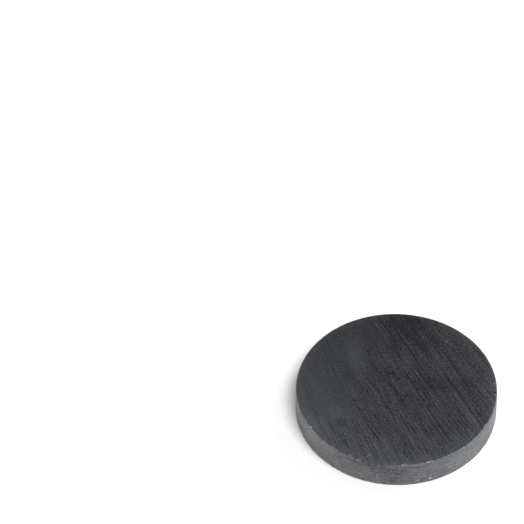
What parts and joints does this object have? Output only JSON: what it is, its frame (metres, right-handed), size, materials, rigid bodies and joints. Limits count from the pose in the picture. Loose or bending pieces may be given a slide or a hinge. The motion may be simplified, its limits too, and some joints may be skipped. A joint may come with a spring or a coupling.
{
  "type": "disc magnet",
  "caption": "Flat round ferrite disc magnet with ground pole faces, a ground rim, lightly broken edges and small edge chips.",
  "frame": {"origin": "centre of the lower pole face, which the disc rests on", "axes": "+Z along the disc's axis, up out of the upper pole face; -Y is the front, where the rim's edge is most chipped"},
  "size_m": [0.02, 0.02, 0.003],
  "materials": {
    "ferrite": "satin"
  },
  "bodies": {
    "root": {"magnet_disc": "ferrite"}
  },
  "joints": []
}
